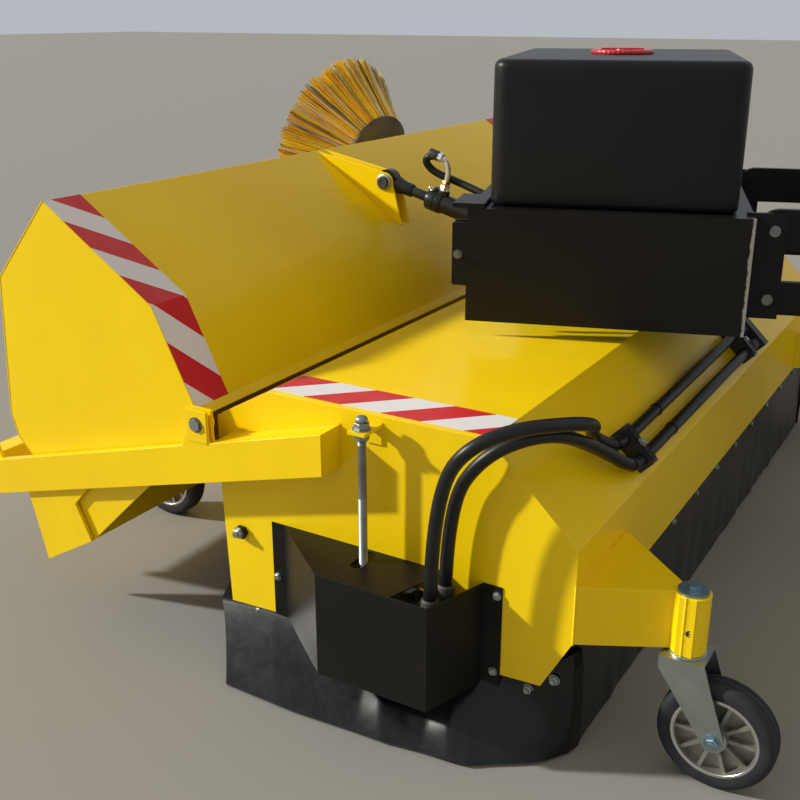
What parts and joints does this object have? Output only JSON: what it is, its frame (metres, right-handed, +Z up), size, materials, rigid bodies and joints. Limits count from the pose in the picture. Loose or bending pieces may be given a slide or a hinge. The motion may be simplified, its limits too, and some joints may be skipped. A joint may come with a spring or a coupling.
{
  "type": "mounted sweeping machine with collecting hopper",
  "caption": "Roller sweeper under a yellow hood with tipping hopper, swivelling coupling head, water tank, castors and folded side brush.",
  "frame": {"origin": "middle of the bounding box, on the ground under the wheels", "axes": "+Z up, +X forward from the coupling frame to the hopper, +Y to the machine's left"},
  "size_m": [3.0998, 3.0256, 1.4593],
  "materials": {
    "yellow_paint": "gloss",
    "black_paint": "satin",
    "zinc": "satin",
    "rim_metal": "satin",
    "wheel_rubber": "matte",
    "skirt_rubber": "satin",
    "hose_rubber": "satin",
    "tank_plastic": "satin",
    "lid_plastic": "gloss",
    "roller_bristle": "matte",
    "brush_bristle": "satin",
    "motor_cast": "satin"
  },
  "bodies": {
    "hood": {"castor_bracket_front_left": "yellow_paint", "castor_bracket_front_right": "yellow_paint", "castor_bracket_rear_left": "yellow_paint", "castor_bracket_rear_right": "yellow_paint", "end_skirt_left": "skirt_rubber", "end_skirt_right": "skirt_rubber", "height_rod_left": "zinc", "height_rod_right": "zinc", "hinge_pin_left": "zinc", "hinge_pin_right": "zinc", "hood_end_left": "yellow_paint", "hood_end_right": "yellow_paint", "hood_panel": "yellow_paint", "roller_carrier_left": "black_paint", "roller_carrier_right": "black_paint", "side_arm_left": "yellow_paint", "side_arm_right": "yellow_paint", "front_beam": "yellow_paint", "drive_motor": "motor_cast", "bearing_hub": "motor_cast", "motor_guard": "black_paint", "rear_skirt": "skirt_rubber", "ram_lugs": "black_paint", "swivel_post": "black_paint", "brush_bracket": "yellow_paint", "drive_hoses": "hose_rubber", "hose_clamps": "black_paint"},
    "hopper": {"hopper_roof": "yellow_paint", "hopper_front": "yellow_paint", "hopper_floor": "yellow_paint", "hopper_end_left": "yellow_paint", "hopper_end_right": "yellow_paint", "ram_ears": "yellow_paint"},
    "ram_barrel_body": {"ram_barrel": "black_paint", "ram_hose": "hose_rubber"},
    "ram_rod_body": {"ram_rod": "zinc"},
    "head": {"head_frame": "black_paint", "water_tank": "tank_plastic"},
    "lid": {"tank_lid": "lid_plastic"},
    "low_links": {"link_low": "black_paint"},
    "high_links": {"link_high": "black_paint"},
    "coupler": {"coupling_frame": "black_paint"},
    "roller": {"roller_core": "black_paint", "roller_bristles": "roller_bristle"},
    "side_brush_arm": {"brush_arm": "black_paint"},
    "side_brush_disc": {"side_brush": "brush_bristle"},
    "fork_rear_left": {"castor_fork_rear_left": "zinc"},
    "wheel_rear_left": {"castor_rim_rear_left": "rim_metal", "castor_tyre_rear_left": "wheel_rubber"},
    "fork_rear_right": {"castor_fork_rear_right": "zinc"},
    "wheel_rear_right": {"castor_rim_rear_right": "rim_metal", "castor_tyre_rear_right": "wheel_rubber"},
    "fork_front_left": {"castor_fork_front_left": "zinc"},
    "wheel_front_left": {"castor_rim_front_left": "rim_metal", "castor_tyre_front_left": "wheel_rubber"},
    "fork_front_right": {"castor_fork_front_right": "zinc"},
    "wheel_front_right": {"castor_rim_front_right": "rim_metal", "castor_tyre_front_right": "wheel_rubber"}
  },
  "joints": [
    {"name": "hopper_tilt", "type": "hinge", "parent": "hood", "child": "hopper", "pos_m": [0.066, 0.133, 0.633], "axis": [0, 1, 0], "range_deg": [0, 40]},
    {"name": "ram_swing", "type": "hinge", "parent": "hood", "child": "ram_barrel_body", "pos_m": [-0.454, 0.213, 0.825], "axis": [0, 1, 0], "range_deg": [0, 17.2]},
    {"name": "ram_stroke", "type": "slide", "parent": "ram_barrel_body", "child": "ram_rod_body", "axis": [0.9637, 0, 0.267], "range_m": [0, 0.178]},
    {"name": "head_swivel", "type": "hinge", "parent": "hood", "child": "head", "pos_m": [-0.576, 0.133, 0.9], "axis": [0, 0, 1], "range_deg": [-43, 7]},
    {"name": "tank_lid_turn", "type": "hinge", "parent": "head", "child": "lid", "pos_m": [-0.45852, 0.1533, 1.44], "axis": [0, 0, 1], "continuous": true},
    {"name": "link_low_swing", "type": "hinge", "parent": "head", "child": "low_links", "pos_m": [-0.85846, 0.04122, 0.851], "axis": [-0.309, 0.9511, 0], "range_deg": [-15, 15]},
    {"name": "link_high_swing", "type": "hinge", "parent": "head", "child": "high_links", "pos_m": [-0.85846, 0.04122, 1.026], "axis": [-0.309, 0.9511, 0], "range_deg": [-15.2, 15.2]},
    {"name": "coupler_swing", "type": "hinge", "parent": "low_links", "child": "coupler", "pos_m": [-1.28644, -0.09784, 0.851], "axis": [-0.309, 0.9511, 0], "range_deg": [-15.2, 15.2]},
    {"name": "roller_spin", "type": "hinge", "parent": "hood", "child": "roller", "pos_m": [-0.394, 0.133, 0.262], "axis": [0, 1, 0], "continuous": true},
    {"name": "brush_fold", "type": "hinge", "parent": "hood", "child": "side_brush_arm", "pos_m": [1.026, -1.117, 0.545], "axis": [0, 1, 0], "range_deg": [0, 109]},
    {"name": "side_brush_spin", "type": "hinge", "parent": "side_brush_arm", "child": "side_brush_disc", "pos_m": [1.153, -1.117, 0.899], "axis": [0.9358, -0.1315, 0.3272], "continuous": true},
    {"name": "castor_swivel_rear_left", "type": "hinge", "parent": "hood", "child": "fork_rear_left", "pos_m": [-1.074, 1.238, 0.37], "axis": [0, 0, 1], "continuous": true},
    {"name": "castor_spin_rear_left", "type": "hinge", "parent": "fork_rear_left", "child": "wheel_rear_left", "pos_m": [-1.154, 1.238, 0.125], "axis": [0, 1, 0], "continuous": true},
    {"name": "castor_swivel_rear_right", "type": "hinge", "parent": "hood", "child": "fork_rear_right", "pos_m": [-1.074, -0.972, 0.37], "axis": [0, 0, 1], "continuous": true},
    {"name": "castor_spin_rear_right", "type": "hinge", "parent": "fork_rear_right", "child": "wheel_rear_right", "pos_m": [-1.154, -0.972, 0.125], "axis": [0, 1, 0], "continuous": true},
    {"name": "castor_swivel_front_left", "type": "hinge", "parent": "hood", "child": "fork_front_left", "pos_m": [0.806, 0.838, 0.37], "axis": [0, 0, 1], "continuous": true},
    {"name": "castor_spin_front_left", "type": "hinge", "parent": "fork_front_left", "child": "wheel_front_left", "pos_m": [0.726, 0.838, 0.125], "axis": [0, 1, 0], "continuous": true},
    {"name": "castor_swivel_front_right", "type": "hinge", "parent": "hood", "child": "fork_front_right", "pos_m": [0.806, -0.572, 0.37], "axis": [0, 0, 1], "continuous": true},
    {"name": "castor_spin_front_right", "type": "hinge", "parent": "fork_front_right", "child": "wheel_front_right", "pos_m": [0.726, -0.572, 0.125], "axis": [0, 1, 0], "continuous": true}
  ],
  "couplings": [
    {"joint": "ram_swing", "follows": "hopper_tilt", "ratio": 0.425},
    {"joint": "ram_stroke", "follows": "hopper_tilt", "m_per_rad": 0.2536},
    {"joint": "link_high_swing", "follows": "link_low_swing", "ratio": 1},
    {"joint": "coupler_swing", "follows": "link_low_swing", "ratio": -1}
  ]
}
